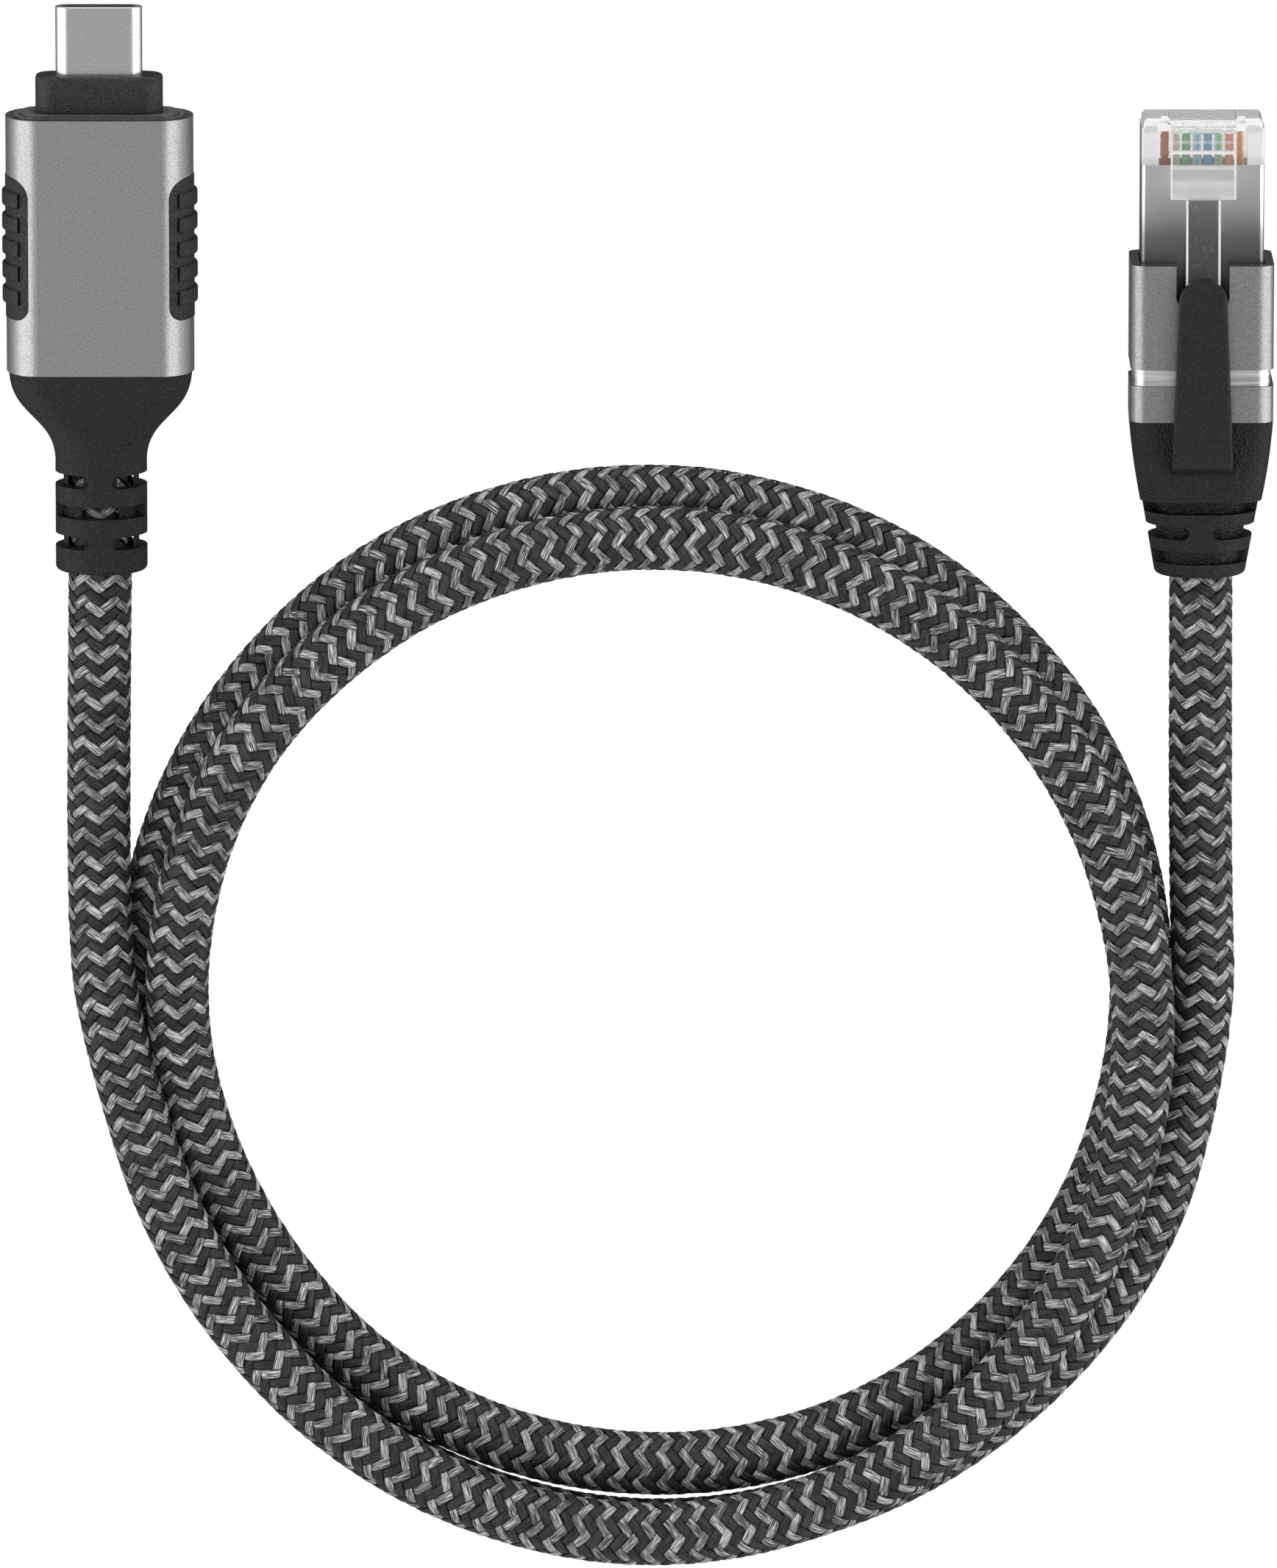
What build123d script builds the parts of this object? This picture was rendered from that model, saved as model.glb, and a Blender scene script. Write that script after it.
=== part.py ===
from build123d import *
import os
from math import radians, tan

# A braided network cable with a USB-C plug on one end and a shielded RJ45 plug on the other.
# Both plugs lie side by side on a table, tips towards +Y, and the cable between them is laid
# in a loose round coil behind them. Everything is in millimetres and z = 0 is the table top.
# Each plug is drawn in its own frame, whose y = 0 is the front of its metal housing, and is
# then moved to its place. In a plug's frame x is measured from the plug's axis.

# Layout
usb_x, plug_x = -51.3, 53.6  # the two plugs' axes
usb_rear_y, plug_rear_y = -27.275, -27.475  # where the cable leaves each boot
cable_d = 6.0

# USB-C end: aluminium housing for the electronics
sleeve_flat = 5.85  # half width of the flat top face
sleeve_round = 3.1  # width of each curved side
sleeve_h = 9.3
sleeve_len = 24.55
sleeve_wall = 0.8
usb_z = sleeve_h / 2  # height of the plug's axis over the table
usb_tip = 10.43  # front of the shell
usb_exit = -43.85  # where the cable leaves the boot
nose_w, nose_h, nose_len = 12.1, 4.9, 3.9
shell_w, shell_h, shell_wall = 8.25, 2.4, 0.25
mating_w, mating_h, mating_depth = 6.9, 0.84, 5.6
grip_front, grip_back = -5.6, -19.3
grip_reach = 6.7  # how near the grip comes to the plug's axis on the flat face
grip_proud = 0.35
rib_count, rib_pitch = 5, 2.33
boot_collar_d = 8.76
boot_slot, boot_slot_pitch = 1.25, 2.96
boot_bridge = 2.3  # width of the rubber left between two slots' ends
boot_core_d = 7.2  # the slots stop at this core, and windows in it show the cable
usb_contact_count, usb_contact_pitch = 12, 0.5

# RJ45 end
plug_w, plug_h = 11.68, 6.6
plug_tip = 13.85  # front of the clear body
plug_rear = -5.0
shield_front, shield_rear = 9.45, -6.4
shield_wall = 0.22
housing_w, housing_h = 13.6, 10.8
housing_wall = 0.85
plug_z = housing_h / 2
ring_front, ring_back = -10.0, -11.6
ring_inset = 0.3
housing_back = -15.05
notch_w, notch_len = 5.05, 3.6  # clearance for the latch at the front of the housing
relief_front = -22.85
plug_exit = -30.35
pair_count, wire_pitch, wire_d = 8, 1.02, 0.8
wire_z = 5.0
wire_front, wire_row_end = 12.3, 1.0
cable_end_in_plug = -7.0

# Latch and lever
latch_hinge_y, latch_hinge_z = 12.95, 8.98
latch_wide, latch_narrow = 6.2, 3.28
latch_shoulder_y, latch_free_y = 6.4, -2.9
latch_t = 1.0
latch_rise = 1.87  # how much higher the free end stands than the hinge
lever_tip_y, lever_root_y = -1.0, -20.0
lever_tip_w, lever_root_w = 4.6, 6.0
lever_under_z, lever_top_z = 12.0, 13.4
lever_pin_y, lever_pin_z, lever_pin_r, lever_pin_w = -18.6, 9.75, 0.7, 5.0

# Cable: the coil's outer and inner outlines, and the two stretches that are not coiled
coil_top = 12.0
coil_outer = (1.8, -71.1, 55.0, 53.5)  # centre x, centre y, half width, half length
coil_inner = (2.0, -69.5, 43.2, 42.7)
coil_edge = 3.5

gap = 0.02  # between pieces that are seated in each other

# The plugs' places
usb_y = usb_rear_y - usb_exit
plug_y = plug_rear_y - plug_exit
usb_place = Location((usb_x, usb_y, 0))
plug_place = Location((plug_x, plug_y, 0))

usb_tail = [
    (usb_x, usb_y - 27.0, usb_z),
    (-51.45, -28.5, 4.6),
    (-51.75, -47.5, 4.0),
    (-51.65, -61.0, 6.6),
    (-50.9, -70.5, 8.4),
]
plug_tail = [
    (plug_x, plug_y + cable_end_in_plug, plug_z),
    (53.75, -30.5, 5.3),
    (53.9, -57.5, 3.05),
    (54.5, -72.5, 3.0),
]


def across(y):
    """The upright plane at y that looks backwards, so that an extrusion runs towards -Y."""
    return Plane((0, y, 0), x_dir=(1, 0, 0), z_dir=(0, -1, 0))


def bar(outline, y_front, y_back, z):
    """Extrudes an outline along Y between two stations, with its centre at height z."""
    return extrude(across(y_front) * (Pos(0, z) * outline), amount=y_front - y_back)


def block(width, length, height, x, y, z):
    """A box from its size and its centre."""
    return Pos(x, y, z) * Box(width, length, height)


def rod(diameter, y_front, y_back, z):
    return bar(Circle(diameter / 2), y_front, y_back, z)


def profile_bar(points, width):
    """Extrudes a side profile, given as (y, z) points, to both sides of the plug's axis."""
    outline = make_face(Polyline(*[(0, y, z) for y, z in points], close=True))
    return extrude(outline, amount=width / 2, both=True)


def tube_on(points, diameter, limit=None):
    """A round tube along straight runs joined by arcs as large as the runs allow."""
    bends = []
    for before, here, after in zip(points, points[1:], points[2:]):
        run_in = Vector(*here) - Vector(*before)
        run_out = Vector(*after) - Vector(*here)
        shorter = min(run_in.length, run_out.length)
        radius = 0.45 * shorter / tan(radians(run_in.get_angle(run_out) / 2))
        bends.append(min(radius, limit) if limit else radius)
    path = FilletPolyline(*points, radius=bends)
    start = Plane(path @ 0, z_dir=path % 0)
    tube = sweep(start * Circle(diameter / 2), path=path)
    return tube, path, bends


def sleeve_outline(inset):
    """The housing's section: flat faces with half-elliptical sides."""
    high = sleeve_h / 2 - inset
    side = Ellipse(sleeve_round - inset, high)
    return Rectangle(2 * sleeve_flat, 2 * high) + Pos(sleeve_flat, 0) * side + Pos(-sleeve_flat, 0) * side


def stadium(width, height):
    return SlotOverall(width, height)


# ---- USB-C end -------------------------------------------------------------------------


def usb_shell():
    outer = bar(stadium(shell_w, shell_h), usb_tip, -2.5, usb_z)
    outer = fillet(outer.faces().sort_by(Axis.Y)[-1].edges(), 0.12)
    inner = stadium(shell_w - 2 * shell_wall, shell_h - 2 * shell_wall)
    return outer - bar(inner, usb_tip + 1, -3, usb_z)


def usb_insulator():
    outline = stadium(shell_w - 2 * shell_wall - gap, shell_h - 2 * shell_wall - gap)
    body = bar(outline, usb_tip - 0.35, -2.5, usb_z)
    return body - bar(stadium(mating_w, mating_h), usb_tip, usb_tip - mating_depth, usb_z)


def usb_contacts():
    strips = []
    first = -usb_contact_pitch * (usb_contact_count - 1) / 2
    for i in range(usb_contact_count):
        for side in (1, -1):
            z = usb_z + side * (mating_h / 2 - 0.07)
            strips.append(block(0.22, 4.4, 0.1, first + i * usb_contact_pitch, usb_tip - 3.2, z))
    return Compound(strips)


def usb_side_latches():
    x = mating_w / 2 - 0.16
    return Compound([block(0.2, 3.6, 0.3, side * x, usb_tip - 3.4, usb_z) for side in (1, -1)])


def usb_nose():
    """The black collar round the shell, with a neck that passes through the end plate."""
    collar = bar(RectangleRounded(nose_w, nose_h, 1.9), nose_len, 0.35, usb_z)
    collar = fillet(collar.faces().sort_by(Axis.Y)[-1].edges(), 0.35)
    neck = bar(RectangleRounded(nose_w - 1.2, nose_h - 1.2, 1.4), 0.35, -1.6, usb_z)
    return collar + neck - bar(stadium(shell_w + gap, shell_h + gap), nose_len + 1, -2, usb_z)


def usb_end_plate():
    plate = bar(sleeve_outline(sleeve_wall + gap), 0.1, -1.5, usb_z)
    step = bar(sleeve_outline(sleeve_wall + 0.6), 0.33, 0.1, usb_z)
    hole = RectangleRounded(nose_w - 1.2 + gap, nose_h - 1.2 + gap, 1.4)
    return plate + step - bar(hole, 1, -2, usb_z)


def grip_window(shrink):
    """The rounded opening in the +X side of the housing that a grip pad fills."""
    inner_x, outer_x = grip_reach + shrink, 12.0
    front, back = grip_front - shrink, grip_back + shrink
    middle = ((inner_x + outer_x) / 2, (front + back) / 2)
    opening = Pos(*middle) * Rectangle(outer_x - inner_x, front - back)
    corners = opening.vertices().sort_by(Axis.X)[:2].sort_by(Axis.Y)
    opening = fillet(corners[1], 2.0)
    corners = opening.vertices().sort_by(Axis.Y)[:2].sort_by(Axis.X)
    opening = fillet(corners[0], 1.3)
    return extrude(Pos(0, 0, -1) * opening, amount=sleeve_h + 2)


def usb_sleeve():
    body = bar(sleeve_outline(0), 0, -sleeve_len, usb_z)
    body -= bar(sleeve_outline(sleeve_wall), 1, -sleeve_len - 1, usb_z)
    window = grip_window(0)
    return body - window - mirror(window, about=Plane.YZ)


def usb_grip():
    """The +X grip pad, with ribs across its side that run out into its flat faces."""
    pad = bar(sleeve_outline(-0.06), grip_front, grip_back, usb_z)
    ribs = []
    middle = (grip_front + grip_back) / 2
    for i in range(rib_count):
        y = middle + (i - (rib_count - 1) / 2) * rib_pitch
        rib = Pos(grip_proud, 0, 0) * bar(sleeve_outline(-0.02), y + 0.75, y - 0.75, usb_z)
        rib = fillet(rib.faces().sort_by(Axis.Y)[0].edges(), 0.22)
        rib = fillet(rib.faces().sort_by(Axis.Y)[-1].edges(), 0.22)
        ribs.append(rib & block(4, 4, 20, 9.7, y, usb_z))
    pad = pad + ribs - bar(sleeve_outline(sleeve_wall + 0.3), 0, -sleeve_len, usb_z)
    return pad & grip_window(0.04)


def usb_board():
    return block(13.4, 20.0, 1.0, 0, -12.8, usb_z)


def usb_controller_chip():
    return block(6.0, 6.0, 0.9, 0, -7.8, usb_z + 0.95 + gap)


def usb_magnetics():
    return block(9.0, 6.4, 2.1, 0, -16.6, usb_z + 1.55 + gap)


def usb_crystal():
    can = block(3.2, 2.5, 0.8, -4.6, -12.05, usb_z + 0.9 + gap)
    return fillet(can.edges().filter_by(Axis.Z), 0.3)


def usb_board_capacitors():
    chips = []
    for side in (1, -1):
        for i in range(4):
            chips.append(block(1.0, 0.5, 0.5, side * 4.9, -5.0 - 1.6 * i, usb_z + 0.75 + gap))
    return Compound(chips)


def usb_inner_wires():
    """Eight insulated conductors from the cable's end to the board's rear edge."""
    wires = []
    for i in range(8):
        x = (i % 4 - 1.5) * 1.15
        z = usb_z + (0.95 if i < 4 else -0.95)
        wires.append(Pos(x, 0) * rod(0.8, -21.0, -26.9, z))
    return Compound(wires)


def usb_cable_clamp():
    ring = rod(cable_d + 1.3, -27.2, -31.0, usb_z) - rod(cable_d + 2 * gap, -27, -32, usb_z)
    return ring - block(0.8, 6, 3, 0, -29, usb_z - 3)


def relief_slot(y, open_sides, size, z):
    """A slot right round a strain relief, apart from two bridges opposite each other."""
    if open_sides:
        cut = block(20, boot_slot, 20, 10 + boot_bridge / 2, y, z)
        cut = fillet(cut.edges().filter_by(Axis.Z).group_by(Axis.X)[0], size)
        return cut + mirror(cut, about=Plane.YZ)
    cut = block(20, boot_slot, 20, 0, y, z + 10 + boot_bridge / 2)
    return cut + mirror(cut, about=Plane((0, 0, z), z_dir=(0, 0, 1)))


def usb_boot():
    """The rubber boot: a flared front, then a slotted round strain relief."""
    stations = [
        (-sleeve_len, 17.5, 9.1, 4.3),
        (-25.45, 17.3, 9.1, 4.3),
        (-27.75, 15.3, 9.0, 4.3),
        (-29.75, 11.6, 8.9, 4.3),
        (-31.75, 9.2, 8.8, 4.3),
        (-33.75, boot_collar_d, boot_collar_d, 4.3),
    ]
    sections = []
    for y, width, height, corner in stations:
        sections.append(across(y) * (Pos(0, usb_z) * RectangleRounded(width, height, corner)))
    body = loft(sections)
    collar = bar(RectangleRounded(boot_collar_d, boot_collar_d, 4.3), -33.75, usb_exit, usb_z)
    collar = fillet(collar.faces().sort_by(Axis.Y)[0].edges(), 0.5)
    spigot = bar(sleeve_outline(sleeve_wall + gap), -sleeve_len + 2, -sleeve_len, usb_z)
    spigot -= bar(sleeve_outline(sleeve_wall + 1.0), -sleeve_len + 3, -sleeve_len, usb_z)
    body = body + collar + spigot
    body -= rod(7.4, -20, -31.2, usb_z)
    body -= rod(cable_d + 0.4, -31, usb_exit - 1, usb_z)
    core = rod(boot_core_d, -20, usb_exit - 1, usb_z)
    for i in range(3):
        y = -34.9 - i * boot_slot_pitch
        body -= relief_slot(y, i != 1, boot_slot / 2 - 0.01, usb_z) - core
        windows = [(0, 3.5)] if i == 1 else [(-2.35, 1.5), (2.35, 1.5)]
        for x, width in windows:
            body -= block(width, boot_slot - 0.1, 7.5, x, y, usb_z)
    return body


# ---- RJ45 end --------------------------------------------------------------------------


def wire_x(i):
    """The place of conductor i in the row, counted from the left."""
    return (i - (pair_count - 1) / 2) * wire_pitch


def plug_body():
    """The clear moulded body: full width at the tip, narrower where the shield wraps it."""
    head = bar(RectangleRounded(plug_w, plug_h, 0.35), plug_tip - 0.9, shield_front, plug_z)
    tip = bar(RectangleRounded(plug_w - 0.35, plug_h - 0.2, 0.3), plug_tip, plug_tip - 0.9, plug_z)
    tip = chamfer(tip.faces().sort_by(Axis.Y)[-1].edges().filter_by(Axis.Z), 0.3)
    inner_w = plug_w - 2 * shield_wall - 2 * gap
    inner_h = plug_h - 2 * gap
    tail = bar(RectangleRounded(inner_w, inner_h, 0.3), shield_front, plug_rear, plug_z)
    top = plug_z + plug_h / 2
    root = block(latch_wide, 0.75, 1.3, 0, plug_tip - 0.375, top + 0.35)
    root = fillet(root.edges().filter_by(Axis.X).group_by(Axis.Z)[-1], 0.3)
    body = head + tip + tail + root
    for side in (1, -1):
        body -= block(0.7, 0.5, 3.0, side * 3.65, plug_tip - 0.2, top - 0.4)
    body -= bar(Rectangle(8.3, 1.0), wire_front + 0.05, 5.0, wire_z)
    body -= bar(Rectangle(9.2, 4.4), 5.0, plug_rear - 1, plug_z)
    for i in range(pair_count):
        body -= block(0.42, 3.6, 4.0, wire_x(i), 10.3, wire_z - 0.5 - 2.0)
    return body


def plug_latch():
    """The locking arm, moulded on the tip in one with the body and bent up towards the rear."""
    bottom = latch_hinge_z
    slope = latch_rise / (latch_hinge_y - latch_free_y)
    front_y = latch_hinge_y - 0.05
    at_shoulder = bottom + slope * (front_y - latch_shoulder_y)
    at_free = bottom + slope * (front_y - latch_free_y)
    rib_y = 8.3
    at_rib = bottom + slope * (front_y - rib_y)
    wide = profile_bar(
        [(front_y, bottom), (front_y, bottom + 0.75), (front_y - 1.5, bottom + latch_t + 0.1),
         (latch_shoulder_y, at_shoulder + latch_t), (latch_shoulder_y, at_shoulder)],
        latch_wide,
    )
    wide = fillet(wide.edges().filter_by(Axis.Z), 0.12)
    arm = profile_bar(
        [(rib_y, at_rib), (rib_y, at_rib + latch_t + 0.15), (rib_y - 1.2, at_rib + latch_t + 0.42),
         (latch_free_y, at_free + latch_t - 0.2), (latch_free_y, at_free)],
        latch_narrow,
    )
    return wide + arm


def plug_shield():
    """The nickel-plated wrap round the body."""
    outer = bar(RectangleRounded(plug_w, plug_h + 0.3, 0.45), shield_front - gap, shield_rear, plug_z)
    inner = RectangleRounded(plug_w - 2 * shield_wall, plug_h, 0.32)
    return outer - bar(inner, shield_front + 1, shield_rear - 1, plug_z)


def plug_contacts():
    blades = []
    for i in range(pair_count):
        blade = block(0.34, 3.1, 2.1, wire_x(i), 10.35, wire_z - 0.5 - 1.05)
        blades.append(fillet(blade.edges().filter_by(Axis.X).group_by(Axis.Z)[0], 0.4))
    return Compound(blades)


def plug_load_bar():
    """The comb that keeps the conductors in order."""
    comb = block(8.9, 2.4, 2.0, 0, 3.6, wire_z)
    for i in range(pair_count):
        comb -= Pos(wire_x(i), 0) * rod(wire_d + 0.08, 6, 1, wire_z)
    return comb


def plug_wire(i):
    """Conductor i: straight in the row, then gathered into the cable's end in two layers."""
    bundle_x = (i // 2 - 1.5) * 1.1
    bundle_z = plug_z + (0.75 if i % 2 == 0 else -0.75)
    points = [
        (wire_x(i), wire_front, wire_z),
        (wire_x(i), wire_row_end, wire_z),
        (bundle_x, -5.2, bundle_z),
        (bundle_x, cable_end_in_plug + gap, bundle_z),
    ]
    return tube_on(points, wire_d, limit=2.5)[0]


def plug_crimp_collar():
    ring = rod(cable_d + 0.8, cable_end_in_plug + 0.2, -8.8, plug_z)
    return ring - rod(cable_d + 2 * gap, 0, -20, plug_z)


def housing_piece(front, back, inset):
    """A length of the metal housing, which is a rounded rectangular tube."""
    outline = RectangleRounded(housing_w - 2 * inset, housing_h - 2 * inset, 1.5 - inset)
    cavity = Rectangle(housing_w - 2 * housing_wall, plug_h + 0.5)
    return bar(outline, front, back, plug_z) - bar(cavity, front + 1, back - 1, plug_z)


def plug_housing():
    body = housing_piece(0, ring_front, 0)
    notch = block(notch_w, 2 * notch_len, 8, 0, 0, housing_h + 1.2)
    notch = fillet(notch.edges().filter_by(Axis.Z).group_by(Axis.Y)[0], 0.5)
    return body - notch


def plug_boot():
    """The rubber boot: a spigot in the housing, a tapered body and a slotted strain relief."""
    spigot_outline = Rectangle(housing_w - 2 * housing_wall - 2 * gap, plug_h + 0.4)
    spigot = bar(spigot_outline, -9.0, housing_back - 1, plug_z)
    stations = [
        (housing_back - gap, housing_w, housing_h, 1.6),
        (-17.5, 13.2, 10.7, 1.9),
        (relief_front, 11.6, 10.2, 2.6),
    ]
    sections = []
    for y, width, height, corner in stations:
        sections.append(across(y) * (Pos(0, plug_z) * RectangleRounded(width, height, corner)))
    body = loft(sections) + spigot
    front = across(relief_front) * (Pos(0, plug_z) * RectangleRounded(11.2, 9.4, 4.2))
    back = across(plug_exit) * (Pos(0, plug_z) * RectangleRounded(8.6, 8.2, 4.0))
    relief = loft([front, back])
    relief = fillet(relief.faces().sort_by(Axis.Y)[0].edges(), 0.5)
    body = body + relief - rod(cable_d + 0.4, 0, plug_exit - 1, plug_z)
    core_front = across(relief_front) * (Pos(0, plug_z) * RectangleRounded(9.2, 7.4, 3.4))
    core_back = across(plug_exit) * (Pos(0, plug_z) * RectangleRounded(7.2, 6.8, 3.2))
    core = loft([core_front, core_back])
    for i in range(3):
        y = relief_front - 0.65 - i * 2.45
        body -= relief_slot(y, i == 1, boot_slot / 2 - 0.01, plug_z) - core
    pin_groove = Cylinder(lever_pin_r + 0.06, lever_pin_w + 0.3)
    groove = Pos(0, lever_pin_y, lever_pin_z) * Rot(0, 90, 0) * pin_groove
    mouth = block(lever_pin_w + 0.3, 1.3, 2.0, 0, lever_pin_y, lever_pin_z + 1.0)
    return body - groove - mouth


def latch_lever():
    """The finger lever over the latch. A bead at its root turns in the boot's groove."""
    side = [
        (lever_tip_y, lever_under_z + 0.25),
        (lever_tip_y - 0.35, lever_under_z),
        (-14.9, lever_under_z),
        (-16.2, lever_under_z - 0.75),
        (-17.2, 11.0),
        (lever_root_y + 0.1, 10.72),
        (lever_root_y, 11.1),
        (lever_root_y + 0.75, 12.35),
        (lever_root_y + 2.3, 13.05),
        (-14.5, 13.25),
        (-7.0, lever_top_z),
        (-2.6, lever_top_z - 0.05),
        (lever_tip_y, lever_top_z - 0.55),
    ]
    slab = profile_bar(side, 8)
    tip_r = lever_tip_w / 2
    outline = make_face(
        Polyline(
            (-lever_root_w / 2, lever_root_y - 1), (-tip_r, lever_tip_y - tip_r),
            (tip_r, lever_tip_y - tip_r), (lever_root_w / 2, lever_root_y - 1), close=True,
        )
    )
    outline += Pos(0, lever_tip_y - tip_r) * Circle(tip_r)
    slab &= extrude(Pos(0, 0, 8) * outline, amount=8)
    upper = slab.edges().filter_by(lambda edge: edge.center().Z > 12.6 and edge.length > 1.5)
    sides = upper.filter_by(lambda edge: abs(edge.center().X) > 1.5)
    slab = fillet(sides, 0.3)
    neck = block(lever_pin_w, 0.9, 1.5, 0, lever_pin_y, lever_pin_z + 0.75)
    bead = Pos(0, lever_pin_y, lever_pin_z) * Rot(0, 90, 0) * Cylinder(lever_pin_r, lever_pin_w)
    return slab + neck + bead


# ---- Cable -----------------------------------------------------------------------------


def cable_coil():
    outer_x, outer_y, outer_a, outer_b = coil_outer
    inner_x, inner_y, inner_a, inner_b = coil_inner
    outline = Pos(outer_x, outer_y) * Ellipse(outer_a, outer_b)
    outline -= Pos(inner_x, inner_y) * Ellipse(inner_a, inner_b)
    body = extrude(outline, amount=coil_top)
    return fillet(body.edges(), coil_edge)


def cable_tail(name, points):
    tube, path, bends = tube_on(points, cable_d)
    print(name, "length", round(path.length, 1), "bend radii", [round(r) for r in bends])
    section = 3.14159 * cable_d**2 / 4
    print(name, "volume over section times length", round(tube.volume / (section * path.length), 4))
    return tube


def main():
    usb_nodes = {
        "usb_shell": usb_shell(),
        "usb_insulator": usb_insulator(),
        "usb_contacts": usb_contacts(),
        "usb_side_latches": usb_side_latches(),
        "usb_nose": usb_nose(),
        "usb_end_plate": usb_end_plate(),
        "usb_sleeve": usb_sleeve(),
        "usb_grip_right": usb_grip(),
        "usb_grip_left": mirror(usb_grip(), about=Plane.YZ),
        "usb_board": usb_board(),
        "usb_controller_chip": usb_controller_chip(),
        "usb_magnetics": usb_magnetics(),
        "usb_crystal": usb_crystal(),
        "usb_board_capacitors": usb_board_capacitors(),
        "usb_inner_wires": usb_inner_wires(),
        "usb_cable_clamp": usb_cable_clamp(),
        "usb_boot": usb_boot(),
    }
    plug_nodes = {
        "plug_body": plug_body(),
        "plug_latch": plug_latch(),
        "plug_shield": plug_shield(),
        "plug_contacts": plug_contacts(),
        "plug_load_bar": plug_load_bar(),
        "plug_crimp_collar": plug_crimp_collar(),
        "plug_housing": plug_housing(),
        "plug_trim_ring": housing_piece(ring_front - gap, ring_back + gap, ring_inset),
        "plug_rear_collar": housing_piece(ring_back, housing_back, 0),
        "plug_boot": plug_boot(),
        "latch_lever": latch_lever(),
    }
    wire_names = [
        "brown", "white_brown", "green", "white_blue", "blue", "white_green", "orange", "white_orange",
    ]
    for i, colour in enumerate(wire_names):
        plug_nodes["wire_" + colour] = plug_wire(i)
    nodes = {name: usb_place * shape for name, shape in usb_nodes.items()}
    nodes.update({name: plug_place * shape for name, shape in plug_nodes.items()})
    nodes["cable_coil"] = cable_coil()
    nodes["cable_usb_tail"] = cable_tail("cable_usb_tail", usb_tail)
    nodes["cable_plug_tail"] = cable_tail("cable_plug_tail", plug_tail)
    os.makedirs("parts", exist_ok=True)
    for name, shape in nodes.items():
        export_step(shape, f"parts/{name}.step")
    print("plug axes", round(usb_x, 3), round(plug_x, 3), "fronts", round(usb_y, 3), round(plug_y, 3))


main()
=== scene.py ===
import math

import bpy
import numpy as np
from mathutils import Matrix, Vector


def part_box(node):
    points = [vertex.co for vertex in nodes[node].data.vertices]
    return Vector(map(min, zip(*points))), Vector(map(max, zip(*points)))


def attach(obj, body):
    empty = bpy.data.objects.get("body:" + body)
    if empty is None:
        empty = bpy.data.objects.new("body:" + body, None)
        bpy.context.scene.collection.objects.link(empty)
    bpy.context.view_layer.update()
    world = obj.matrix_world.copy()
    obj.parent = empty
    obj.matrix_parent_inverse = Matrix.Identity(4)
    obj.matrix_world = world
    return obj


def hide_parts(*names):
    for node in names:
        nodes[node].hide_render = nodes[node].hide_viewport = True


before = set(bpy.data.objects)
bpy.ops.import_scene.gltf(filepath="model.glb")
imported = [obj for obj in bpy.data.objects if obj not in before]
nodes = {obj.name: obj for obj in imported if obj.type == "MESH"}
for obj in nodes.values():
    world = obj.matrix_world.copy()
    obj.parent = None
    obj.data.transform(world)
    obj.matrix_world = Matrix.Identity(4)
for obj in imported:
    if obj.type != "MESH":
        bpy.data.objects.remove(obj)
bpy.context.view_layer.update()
scene = bpy.context.scene

MM = 0.001

# ---------------------------------------------------------------- camera

LENS_MM = 400.0
SENSOR_MM = 36.0
FRAME_HEIGHT_PX = 2132
PX_PER_MM = 14.2
IMAGE_HEIGHT_MM = FRAME_HEIGHT_PX / PX_PER_MM  # what the frame's long side spans at the target
TILT = math.radians(10.6)
TARGET = Vector((0.0, -48.0, 6.0)) * MM

camera_data = bpy.data.cameras.new("camera")
camera_data.lens = LENS_MM
camera_data.sensor_width = SENSOR_MM
camera_data.clip_start = 0.01  # metres
camera_data.clip_end = 30.0
camera = bpy.data.objects.new("camera", camera_data)
scene.collection.objects.link(camera)
camera_back = Vector((0.0, math.sin(TILT), math.cos(TILT)))
camera_right = Vector((1.0, 0.0, 0.0))
camera_up = camera_back.cross(camera_right)
camera_distance = LENS_MM * IMAGE_HEIGHT_MM / SENSOR_MM * MM
turn = Matrix((camera_right, camera_up, camera_back)).transposed().to_4x4()
camera.matrix_world = Matrix.Translation(TARGET + camera_back * camera_distance) @ turn
scene.camera = camera

# ---------------------------------------------------------------- material helpers


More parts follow.
